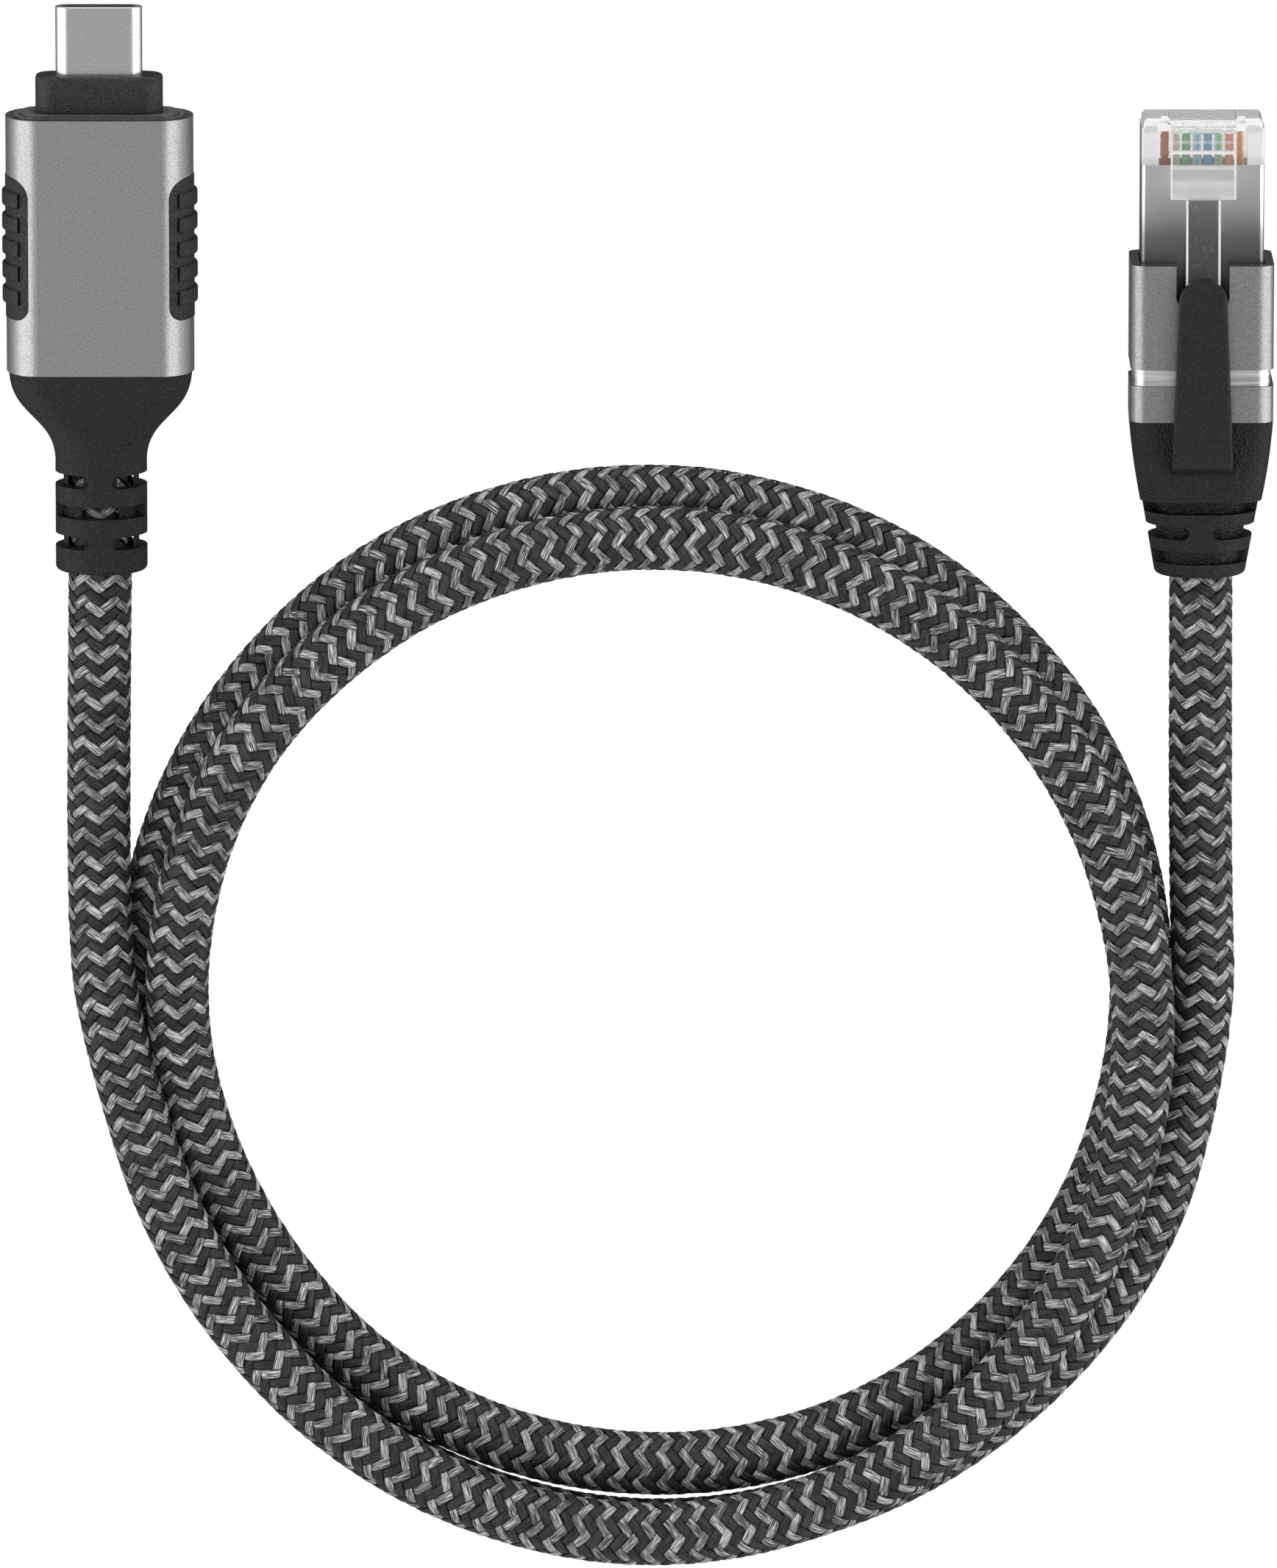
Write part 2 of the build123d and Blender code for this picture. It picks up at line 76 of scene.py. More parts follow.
class Look:
    """A Principled material with short calls for the nodes that feed it."""

    def __init__(self, name, colour=(0.5, 0.5, 0.5), rough=0.5, metal=0.0, **sockets):
        self.mat = bpy.data.materials.new(name)
        self.mat.use_nodes = True
        self.tree = self.mat.node_tree
        self.bsdf = self.tree.nodes["Principled BSDF"]
        self.out = self.tree.nodes["Material Output"]
        self.set("Base Color", (*colour, 1.0))
        self.set("Roughness", rough)
        self.set("Metallic", metal)
        for key, value in sockets.items():
            self.set(key.replace("_", " "), value)

    def set(self, socket, value):
        if isinstance(value, bpy.types.NodeSocket):
            self.tree.links.new(value, self.bsdf.inputs[socket])
        else:
            self.bsdf.inputs[socket].default_value = value

    def node(self, kind, **inputs):
        made = self.tree.nodes.new("ShaderNode" + kind)
        for key, value in inputs.items():
            if key[0].islower():
                setattr(made, key, value)
                continue
            socket = made.inputs[key.replace("_", " ")]
            if isinstance(value, bpy.types.NodeSocket):
                self.tree.links.new(value, socket)
            else:
                socket.default_value = value
        return made

    def place(self):
        return self.node("TexCoord").outputs["Object"]

    def uv(self):
        return self.node("TexCoord").outputs["UV"]

    def stretched(self, vector, scale):
        return self.node("Mapping", Vector=vector, Scale=scale).outputs["Vector"]

    def noise(self, scale, detail=2.0, rough=0.5, vector=None):
        made = self.node("TexNoise", Scale=scale, Detail=detail, Roughness=rough)
        self.tree.links.new(vector or self.place(), made.inputs["Vector"])
        return made.outputs["Fac"]

    def cells(self, scale):
        made = self.node("TexVoronoi", feature="F1", Scale=scale)
        self.tree.links.new(self.place(), made.inputs["Vector"])
        return made.outputs["Distance"]

    def maths(self, operation, a, b=0.0, c=0.0, clamp=False):
        made = self.node("Math", operation=operation, use_clamp=clamp)
        for i, value in enumerate((a, b, c)):
            if isinstance(value, bpy.types.NodeSocket):
                self.tree.links.new(value, made.inputs[i])
            else:
                made.inputs[i].default_value = value
        return made.outputs[0]

    def axis(self, name, vector=None):
        return self.node("SeparateXYZ", Vector=vector or self.place()).outputs[name]

    def facing(self, name):
        """How far the surface faces along an axis."""
        return self.axis(name, self.node("TexCoord").outputs["Normal"])

    def distance_from(self, name, middle):
        """How far a point lies from the middle, along an axis."""
        return self.maths("ABSOLUTE", self.maths("SUBTRACT", self.axis(name), middle))

    def between(self, fac, low, high, to_low=0.0, to_high=1.0):
        """Smoothly from one value to another while fac goes from low to high."""
        made = self.node("MapRange", Value=fac, From_Min=low, From_Max=high)
        made.inputs["To Min"].default_value = to_low
        made.inputs["To Max"].default_value = to_high
        made.clamp = True
        made.interpolation_type = "SMOOTHSTEP"
        return made.outputs["Result"]

    def ramp(self, fac, *stops):
        made = self.node("ValToRGB", Fac=fac)
        elements = made.color_ramp.elements
        while len(elements) < len(stops):
            elements.new(0.5)
        for element, (position, colour) in zip(elements, stops):
            element.position = position
            if not hasattr(colour, "__len__"):
                colour = (colour, colour, colour)
            element.color = (*colour, 1.0)
        return made.outputs["Color"]

    def mix(self, fac, a, b):
        made = self.node("Mix", data_type="RGBA")
        for i, value in ((0, fac), (6, a), (7, b)):
            if isinstance(value, bpy.types.NodeSocket):
                self.tree.links.new(value, made.inputs[i])
            else:
                made.inputs[i].default_value = value if i == 0 else (*value, 1.0)
        return made.outputs[2]

    def bump(self, height, distance_mm, strength=1.0):
        made = self.node("Bump", Height=height, Strength=strength)
        made.inputs["Distance"].default_value = distance_mm * MM
        self.set("Normal", made.outputs["Normal"])

    def on(self, *names):
        for name in names:
            mesh = nodes[name].data
            mesh.materials.clear()
            mesh.materials.append(self.mat)
        return self


# ---------------------------------------------------------------- the cable's line

# The route in millimetres: out of the USB-C boot, round the coil, and into the RJ45 boot.
usb_tail = [
    (-51.3, -10.425, 4.65),
    (-51.45, -28.5, 4.6),
    (-51.75, -47.5, 4.0),
    (-51.65, -61.0, 6.6),
    (-50.9, -70.5, 8.4),
]
plug_tail = [
    (54.5, -72.5, 3.0),
    (53.9, -57.5, 3.05),
    (53.75, -30.5, 5.3),
    (53.6, -4.125, 5.4),
]
COIL_CENTRE = (1.5, -69.5)
COIL_START, COIL_STEP = 210, 30  # degrees
# The coil between the two tails, one point every COIL_STEP: the line's radius and its height.
coil = [
    (50.1, 9.0), (50.8, 9.0), (51.6, 9.0), (50.7, 9.0), (48.2, 8.9), (46.7, 9.0),
    (46.2, 8.6), (45.8, 8.3), (45.7, 8.0), (45.9, 8.0), (46.5, 8.5), (45.7, 8.1),
    (44.6, 4.8), (45.6, 3.0), (45.8, 3.0), (46.2, 3.0), (46.3, 3.0), (46.7, 3.0),
    (47.8, 3.0), (48.5, 3.0), (48.9, 3.0), (49.2, 3.0), (48.9, 3.0), (49.0, 3.0),
    (50.7, 3.0), (51.7, 3.0), (52.5, 3.0), (52.3, 3.0), (52.4, 3.0),
]


def coil_points():
    # a control point lies outside the arc that the spline makes of it
    out = 1 / math.cos(math.radians(COIL_STEP / 2))
    points = []
    for i, (radius, height) in enumerate(coil):
        angle = math.radians(COIL_START + COIL_STEP * i)
        x = COIL_CENTRE[0] + radius * out * math.cos(angle)
        y = COIL_CENTRE[1] + radius * out * math.sin(angle)
        points.append((x, y, height))
    return points


def spline_line(points):
    """The line, in millimetres, that a NURBS spline makes of the route's control points."""
    data = bpy.data.curves.new("route", "CURVE")
    data.dimensions = "3D"
    data.resolution_u = 32
    spline = data.splines.new("NURBS")
    spline.points.add(len(points) - 1)
    for point, co in zip(spline.points, points):
        point.co = (co[0] * MM, co[1] * MM, co[2] * MM, 1.0)
    spline.order_u = 3
    spline.use_endpoint_u = True
    holder = bpy.data.objects.new("route", data)
    mesh = bpy.data.meshes.new_from_object(holder)
    line = np.array([v.co for v in mesh.vertices], float) / MM
    bpy.data.meshes.remove(mesh)
    bpy.data.objects.remove(holder)
    bpy.data.curves.remove(data)
    keep = np.concatenate([[True], np.linalg.norm(np.diff(line, axis=0), axis=1) > 1e-4])
    return line[keep]


line = spline_line(usb_tail + coil_points() + plug_tail)
steps = np.linalg.norm(np.diff(line, axis=0), axis=1)
run = np.concatenate([[0], np.cumsum(steps)])
tangent = np.gradient(line, run, axis=0)
cable_length = run[-1]


def at(s):
    """Point, side and up of the cable's line at the distances s."""
    p = np.stack([np.interp(s, run, line[:, k]) for k in range(3)], axis=-1)
    t = np.stack([np.interp(s, run, tangent[:, k]) for k in range(3)], axis=-1)
    t /= np.linalg.norm(t, axis=-1, keepdims=True)
    side = np.cross(t, (0.0, 0.0, 1.0))
    side /= np.linalg.norm(side, axis=-1, keepdims=True)
    return p, side, np.cross(side, t)


def on_cable(s, angle, radius):
    """Points at an angle and a radius round the cable's line."""
    p, side, up = at(s)
    out = up * np.cos(angle)[..., None] + side * np.sin(angle)[..., None]
    return p + out * radius[..., None]


def build(name, points_mm, faces, material):
    """A smooth mesh object from numpy arrays, faces all quads."""
    mesh = bpy.data.meshes.new(name)
    mesh.vertices.add(len(points_mm))
    mesh.vertices.foreach_set("co", (points_mm * MM).astype(np.float32).ravel())
    mesh.loops.add(faces.size)
    mesh.loops.foreach_set("vertex_index", faces.astype(np.int32).ravel())
    mesh.polygons.add(len(faces))
    mesh.polygons.foreach_set("loop_start", np.arange(0, faces.size, 4, dtype=np.int32))
    mesh.update(calc_edges=True)
    mesh.polygons.foreach_set("use_smooth", np.full(len(faces), True))
    mesh.materials.append(material)
    made = bpy.data.objects.new(name, mesh)
    scene.collection.objects.link(made)
    return made


# ---------------------------------------------------------------- the braid

CARRIERS = 24  # half of them wind each way
TOP = 3.06  # radius over the braid
ACROSS = 2 * math.pi * TOP / CARRIERS  # between two crossings, round the cable
ALONG = 0.5725  # between two crossings, along the cable
SLANT = math.hypot(ACROSS, ALONG)  # between two crossings, along a yarn
TILE = 2 * ACROSS * ALONG / SLANT  # mean width of a yarn
LIGHT_SHARE = 0.48  # half of the light yarn's width, in mean widths
SHEAR = (ALONG**2 - ACROSS**2) / (2 * ACROSS * ALONG)  # a float's ends lie along the other yarns
STATIONS = (-1.30, -1.12, -0.98, -0.80, -0.4, 0.0, 0.4, 0.80, 0.98, 1.12, 1.30)
TOP_POINTS = 5
CROWN = 0.07  # how far a float falls from its middle to its ends
DIVE = 0.26  # how far its ends go on down under their neighbours
ARCH = 0.07  # how far it falls to its sides
THICKNESS = 0.10
WIDTH_SPREAD, LENGTH_SPREAD = 0.04, 0.02  # how much the floats differ, as shares
SLIDE_SPREAD, LIFT_SPREAD = 0.03, 0.012  # along the cable and outwards
random = np.random.default_rng(11)


def braid_floats(light):
    """Each float of one colour: its middle round and along the cable, and which way it leans."""
    count = int(cable_length / (2 * ALONG)) - 1
    shift = (0.5 - LIGHT_SHARE) * (1 if light else -1)
    u, v, lean = [], [], []
    for turn_no in range(CARRIERS // 4):
        for leaning in (-1, 1):
            column_u = (4 * turn_no + (0.5 if leaning < 0 else 2.5)) * ACROSS
            index = np.arange(1, count)
            wanted = (index % 2 == 0) if leaning < 0 else (index % 2 == 1)
            index = index[wanted == light]
            u.append(np.full(len(index), column_u + shift * ACROSS))
            v.append((2 * index + (0.5 + shift) * leaning) * ALONG)
            lean.append(np.full(len(index), leaning))
    return np.concatenate(u), np.concatenate(v), np.concatenate(lean)


def braid_mesh(name, light, s_from, s_to, material):
    """One colour's floats along one length of cable: ribbons that go over two and under two."""
    u0, v0, lean = braid_floats(light)
    inside = (v0 >= s_from) & (v0 < s_to)
    u0, v0, lean = (values[inside][:, None, None] for values in (u0, v0, lean))
    count = len(u0)

    def vary(spread, middle=0.0):
        return random.normal(middle, spread, count)[:, None, None]

    t = np.array(STATIONS)[None, :, None]
    x = np.append(np.linspace(-1, 1, TOP_POINTS), 0.0)[None, None, :]
    under = np.append(np.zeros(TOP_POINTS), THICKNESS)[None, None, :]
    share = LIGHT_SHARE if light else 1 - LIGHT_SHARE
    off = x * share * TILE * vary(WIDTH_SPREAD, 1.0)
    past = np.clip((np.abs(t) - 0.90) / 0.40, 0, 1)
    run_t = (t + SHEAR * off / SLANT) * vary(LENGTH_SPREAD, 1.0)
    u = u0 + lean * (ACROSS * run_t - off * ALONG / SLANT) + 0 * under
    v = v0 + vary(SLIDE_SPREAD) + ALONG * run_t + off * ACROSS / SLANT
    sunk = CROWN * t**2
    height = TOP + vary(LIFT_SPREAD) - sunk - DIVE * past - ARCH * np.abs(x) ** 3 - under
    u, v, height = np.broadcast_arrays(u, v, height)
    points = on_cable(v.ravel(), u.ravel() / TOP, height.ravel())
    ring = TOP_POINTS + 1
    one = np.arange(len(STATIONS) * ring).reshape(len(STATIONS), ring)
    a, b = one[:-1], one[1:]
    sides = np.stack([a, np.roll(a, -1, axis=1), np.roll(b, -1, axis=1), b], axis=-1)
    first, last = one[0], one[-1]
    caps = [
        (first[4], first[3], first[2], first[1]), (first[5], first[4], first[1], first[0]),
        (last[1], last[2], last[3], last[4]), (last[0], last[1], last[4], last[5]),
    ]
    quads = np.concatenate([sides.reshape(-1, 4), np.array(caps)])
    faces = (quads[None] + (np.arange(count) * one.size)[:, None, None]).reshape(-1, 4)
    turned = np.repeat(lean.ravel() > 0, len(quads))
    faces[turned] = faces[turned][:, ::-1]
    made = build(name, points, faces, material)
    # the filaments' own coordinates: across the yarn and along it, elsewhere for each float
    start = np.floor(random.uniform(0, 400, count))[:, None, None]
    uv = np.stack(np.broadcast_arrays(x * share + start, t * SLANT + start), axis=-1)
    layer = made.data.uv_layers.new(name="filament")
    layer.data.foreach_set("uv", uv.reshape(-1, 2)[faces.ravel()].astype(np.float32).ravel())
    attribute = made.data.attributes.new("tone", "FLOAT", "POINT")
    tone = np.repeat(random.uniform(0, 1, count), one.size)
    attribute.data.foreach_set("value", tone.astype(np.float32))
    return made


core_look = Look("braid_shadow", (0.006, 0.006, 0.007), 0.8)
core_look.bump(core_look.noise(4000), 0.05)


def yarn_look(name, gap_shade, body, glint, rough, depth):
    """Multifilament yarn: thin strands that run along it, with painted highlights on the strands that
    catch the light and painted shade in the gaps between them.
    """
    look = Look(name, body, rough, Specular_IOR_Level=0.4)
    strands = look.noise(1.0, 1.0, 0.6, look.stretched(look.uv(), (15.0, 0.55, 1.0)))
    fine = look.noise(1.0, 0.0, 0.5, look.stretched(look.uv(), (34.0, 0.9, 1.0)))
    tone = look.node("Attribute", attribute_name="tone").outputs["Fac"]
    mixed = look.maths("MULTIPLY_ADD", fine, 0.35, look.maths("MULTIPLY", strands, 0.65))
    shaded = look.maths("MULTIPLY_ADD", tone, 0.07, look.maths("SUBTRACT", mixed, 0.035))
    # painted light: the colour runs from painted shade in the gaps between strands, through the
    # yarn's own body colour, to a painted highlight on the strands that catch the light
    look.set("Base Color", look.ramp(shaded, (0.41, gap_shade), (0.50, body), (0.585, glint)))
    look.bump(mixed, depth, 1.0)
    return look


light_yarn = yarn_look(
    "yarn_light",
    gap_shade=(0.03, 0.03, 0.033),
    body=(0.135, 0.14, 0.15),
    glint=(0.95, 0.95, 0.97),
    rough=0.40,
    depth=0.16,
)
dark_yarn = yarn_look(
    "yarn_dark",
    gap_shade=(0.003, 0.003, 0.004),
    body=(0.013, 0.014, 0.016),
    glint=(0.060, 0.062, 0.066),
    rough=0.50,
    depth=0.08,
)

CORE_SIDES, CORE_RINGS = 24, 900
CORE_DEPTH = 0.24  # how far the core lies under the braid's top


def core_tube(name, material):
    """The dark tube under the braid."""
    rings = np.linspace(0, cable_length, CORE_RINGS)
    angles = np.arange(CORE_SIDES) * 2 * math.pi / CORE_SIDES
    s = np.repeat(rings, CORE_SIDES)
    points = on_cable(s, np.tile(angles, CORE_RINGS), np.full(len(s), TOP - CORE_DEPTH))
    index = np.arange(len(points)).reshape(CORE_RINGS, CORE_SIDES)
    a, b = index[:-1], index[1:]
    faces = np.stack([a, np.roll(a, -1, axis=1), np.roll(b, -1, axis=1), b], axis=-1)
    return build(name, points, faces.reshape(-1, 4), material)


cable_core = core_tube("cable_core", core_look.mat)
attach(cable_core, "cable")

LENGTHS = 4  # the braid is cut into this many pieces of each colour
for k in range(LENGTHS):
    low, high = cable_length * k / LENGTHS, cable_length * (k + 1) / LENGTHS
    for light in (True, False):
        shade = "light" if light else "dark"
        look = light_yarn if light else dark_yarn
        piece = braid_mesh(f"braid_{shade}_{k + 1}", light, low, high, look.mat)
        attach(piece, "cable")

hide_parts("cable_usb_tail", "cable_coil", "cable_plug_tail")

# ---------------------------------------------------------------- looks of the CAD nodes


def blasted(name, colour, rough=0.38):
    """Bead-blasted and anodised aluminium, smoother where its front edge was turned."""
    look = Look(name, colour, rough, 1.0)
    grain = look.noise(8500, 2.0, 0.6)
    turned = look.between(look.facing("Y"), 0.30, 0.75)
    low = tuple(c * 0.68 for c in colour)
    high = tuple(min(1.0, c * 1.36) for c in colour)
    skin = look.ramp(grain, (0.32, low), (0.5, colour), (0.70, high))
    look.set("Base Color", skin)
    look.set("Roughness", look.between(turned, 0.0, 1.0, rough, 0.20))
    look.bump(grain, 0.012, 0.6)
    return look


def moulded(name, colour, rough, grain_scale=4200, depth=0.05, spread=1.0, **sockets):
    """Moulded plastic or rubber with a fine grain whose colour mottles with it, with painted shade in
    the grain's valleys and in its corners.
    """
    look = Look(name, colour, rough, **sockets)
    cells = look.cells(grain_scale)
    fine = look.noise(grain_scale, 2.0, 0.6)
    grain = look.maths("MULTIPLY_ADD", cells, 0.4, fine)
    low = tuple(c * (1 - 0.75 * spread) for c in colour)
    high = tuple(c * (1 + 1.3 * spread) for c in colour)
    # the grain's mottle: partly the plastic's own tone, partly painted shade that darkens the grain's
    # valleys
    skin = look.ramp(fine, (0.36, low), (0.5, colour), (0.66, high))
    # painted shade: an ambient-occlusion node darkens the colour towards black in corners, slots and
    # recesses
    shade = look.node("AmbientOcclusion", Distance=1.2 * MM)
    shade.samples = 8
    open_sky = look.between(shade.outputs["AO"], 0.25, 0.95, 0.12, 1.0)
    look.set("Base Color", look.mix(open_sky, (0.0, 0.0, 0.0), skin))
    look.set("Roughness", look.between(fine, 0.3, 0.7, rough + 0.10, rough - 0.08))
    look.bump(grain, depth, 1.0)
    return look


blasted("sleeve_metal", (0.44, 0.44, 0.45)).on("usb_sleeve")
blasted("housing_metal", (0.38, 0.38, 0.39)).on("plug_housing", "plug_rear_collar")
nose = moulded("nose_plastic", (0.013, 0.013, 0.014), 0.40, depth=0.10, Specular_IOR_Level=0.5)
nose.on("usb_nose")
plate = moulded("plate_plastic", (0.14, 0.14, 0.143), 0.38, 5000, 0.01, 0.4)
plate.on("usb_end_plate")
grip = moulded("grip_rubber", (0.010, 0.010, 0.011), 0.42, 3800, 0.14, Specular_IOR_Level=0.45)
grip.on("usb_grip_left", "usb_grip_right")
boot = moulded("boot_rubber", (0.005, 0.005, 0.006), 0.38, 3800, 0.18, Specular_IOR_Level=0.36)
boot.on("usb_boot", "plug_boot")
lever = moulded("lever_plastic", (0.007, 0.007, 0.008), 0.40, 4600, 0.09, Specular_IOR_Level=0.38)
lever.on("latch_lever")
insulator = moulded("insulator_black", (0.012, 0.012, 0.013), 0.40, 3000, 0.008, 0.4)
insulator.on("usb_insulator")

shell = Look("shell_nickel", (0.78, 0.76, 0.74), 0.22, 1.0)
satin = shell.noise(7000, 2.0, 0.6)
shell.set("Base Color", shell.ramp(satin, (0.3, (0.80, 0.78, 0.76)), (0.7, (0.98, 0.96, 0.94))))
shell.set("Roughness", shell.between(satin, 0.3, 0.7, 0.18, 0.26))
shell.bump(satin, 0.004, 0.5)
shell.on("usb_shell")

steel = Look("spring_steel", (0.62, 0.62, 0.61), 0.28, 1.0)
steel.set("Roughness", steel.between(steel.noise(1500, 3.0), 0.3, 0.7, 0.22, 0.36))
steel.on("usb_side_latches")

gold = Look("contact_gold", (0.83, 0.58, 0.22), 0.22, 1.0)
gold_wear = gold.noise(1800, 3.0)
gold.set("Base Color", gold.ramp(gold_wear, (0.3, (0.70, 0.46, 0.16)), (0.7, (0.90, 0.66, 0.28))))
gold.set("Roughness", gold.between(gold_wear, 0.3, 0.7, 0.16, 0.30))
gold.on("usb_contacts", "plug_contacts")

shield = Look("shield_nickel", (0.80, 0.79, 0.77), 0.14, 1.0)
# painted shade: the shield's colour darkens from its front back towards the housing, in place of the
# darker reflections there
SHIELD_SHADE_LENGTH = 13.5 * MM  # the shield darkens this far back from its front
shield_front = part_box("plug_shield")[1].y
shield_shade = shield.between(shield.axis("Y"), shield_front - SHIELD_SHADE_LENGTH, shield_front)
shield.set("Base Color", shield.ramp(shield_shade, (0.0, 0.04), (0.5, 0.30), (1.0, 1.0)))
smear = shield.noise(160, 3.0)
shield.set("Roughness", shield.between(smear, 0.3, 0.7, 0.20, 0.28))
shield.bump(shield.noise(6000, 1.0), 0.004, 0.3)
shield.on("plug_shield")

ring = Look("ring_chrome", (0.90, 0.90, 0.90), 0.20, 1.0)
brushed = ring.noise(1.0, 1.0, 0.5, ring.stretched(ring.place(), (150, 4500, 150)))
ring.set("Base Color", ring.ramp(brushed, (0.35, 0.70), (0.65, 1.0)))
ring.set("Roughness", ring.between(brushed, 0.3, 0.7, 0.26, 0.38))
ring.bump(brushed, 0.025, 1.0)
ring.on("plug_trim_ring")

collar = Look("crimp_nickel", (0.60, 0.59, 0.57), 0.30, 1.0)
collar.set("Roughness", collar.between(collar.noise(700, 3.0), 0.3, 0.7, 0.24, 0.4))
collar.on("plug_crimp_collar", "usb_cable_clamp")


PLUG_X = 53.6 * MM
CLEAR_TINT = (0.93, 0.93, 0.92)


def clear(name, rough, cloudy):
    """Clear moulded polycarbonate, a little cloudy, that lets light through to what is in it."""
    look = Look(name, CLEAR_TINT, rough, IOR=1.5, Transmission_Weight=1.0 - cloudy)
    look.set("Roughness", look.between(look.noise(500, 3.0), 0.35, 0.7, rough, rough + 0.05))
    passing = look.node("BsdfTransparent", Color=(0.92, 0.93, 0.93, 1.0))
    path = look.node("LightPath")
    swap = look.node("MixShader", Fac=path.outputs["Is Shadow Ray"])
    look.tree.links.new(look.bsdf.outputs["BSDF"], swap.inputs[1])
    look.tree.links.new(passing.outputs["BSDF"], swap.inputs[2])
    look.tree.links.new(swap.outputs["Shader"], look.out.inputs["Surface"])
    return look


# The body is cloudier in grains at the middle of its tip and in its two side walls. Its front face is
# made cloudy white too, a painted brightening in place of the dark it would show through refraction.
# Each pair is the distance over which a zone fades, from the front or from the plug's axis.
TIP_LENGTH = (1.0 * MM, 1.2 * MM)
TIP_HALF_WIDTH = (3.1 * MM, 3.2 * MM)
WING_INSIDE = (4.15 * MM, 4.25 * MM)
WING_FRONT = (1.2 * MM, 1.4 * MM)

body = clear("clear_body", 0.05, 0.10)
body_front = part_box("plug_body")[1].y
behind = body.maths("SUBTRACT", body_front, body.axis("Y"))
aside = body.distance_from("X", PLUG_X)
tip = body.maths(
    "MULTIPLY",
    body.between(behind, *TIP_LENGTH, 1.0, 0.0),
    body.between(aside, *TIP_HALF_WIDTH, 1.0, 0.0),
)
wing = body.maths(
    "MULTIPLY", body.between(aside, *WING_INSIDE), body.between(behind, *WING_FRONT)
)
grains = body.between(body.noise(2200, 3.0), 0.42, 0.62, 0.0, 0.7)
cloud = body.maths(
    "MAXIMUM", body.maths("MULTIPLY", tip, grains), body.maths("MULTIPLY", wing, 0.6)
)
# painted light: faces that look forward go cloudy white, brighter than the clear plastic shows there
cloud = body.maths("MAXIMUM", cloud, body.between(body.facing("Y"), 0.4, 0.8, 0.04, 1.0))
body.set("Transmission Weight", body.between(cloud, 0.0, 1.0, 0.96, 0.0))
tip_lumps = body.maths("MULTIPLY", tip, body.noise(1500, 2.0))
ripple = body.maths("MULTIPLY_ADD", tip_lumps, 5.0, body.noise(900, 3.0))
body.bump(ripple, 0.06, 0.8)
body.on("plug_body", "plug_load_bar")

# The arm is clear, with painted highlights along its edges and a painted grey shade inside them, and
# cloudier on the wide block at its root.
ARM_END = (9.15 * MM, 9.30 * MM)  # y where the arm becomes the block
ARM_RIM = (1.38 * MM, 1.48 * MM)  # from the arm's middle
BLOCK_SIDE = (2.90 * MM, 2.98 * MM)
ARM_SHADE_COLOUR = (0.54, 0.54, 0.54)
# how cloudy it is along the arm, from its free end to its root, with white lines at the block's steps
# as painted highlights
LATCH_ZONES = (
    (0.582, 0.0), (0.588, 0.40), (0.640, 0.26), (0.692, 0.36), (0.700, 0.10), (0.764, 0.10),
    (0.770, 0.45), (0.779, 0.45), (0.786, 0.02), (0.856, 0.02), (0.860, 0.85), (0.872, 0.85),
    (0.877, 0.02), (0.921, 0.02), (0.923, 0.55), (0.927, 0.55), (0.930, 0.02), (0.985, 0.02),
    (1.0, 0.5),
)

latch = clear("clear_latch", 0.03, 0.04)
latch_low, latch_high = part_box("plug_latch")
off = latch.distance_from("X", (latch_low.x + latch_high.x) / 2)
y = latch.axis("Y")
arm = latch.between(y, *ARM_END, 1.0, 0.0)
# painted highlights: the arm's edges and the block's sides go cloudy white
rim_highlight = latch.maths("MULTIPLY", arm, latch.between(off, *ARM_RIM))
sides = latch.between(off, *BLOCK_SIDE)
from_end = latch.maths("SUBTRACT", y, latch_low.y)
share = latch.maths("DIVIDE", from_end, latch_high.y - latch_low.y)
zones = latch.ramp(share, *LATCH_ZONES)
specks = latch.between(latch.noise(2600, 3.0), 0.55, 0.70, 0.0, 0.22)
speckle = latch.maths("MULTIPLY", arm, specks)
edges = latch.maths("MAXIMUM", rim_highlight, sides)
# the cloudiness together with the painted highlights sets how much light passes
cloud = latch.maths("MAXIMUM", edges, latch.maths("MAXIMUM", zones, speckle))
latch.set("Transmission Weight", latch.between(cloud, 0.0, 1.0, 0.96, 0.10))
# painted shade: the arm's inside is tinted grey, in place of the dark gap beneath it
arm_shade = latch.maths("SUBTRACT", arm, rim_highlight, clamp=True)
latch.set("Base Color", latch.mix(arm_shade, CLEAR_TINT, ARM_SHADE_COLOUR))
lumps = latch.maths("MULTIPLY", latch.noise(1500, 2.0), latch.between(share, 0.97, 1.0))
latch.bump(lumps, 0.5, 1.0)
latch.on("plug_latch")

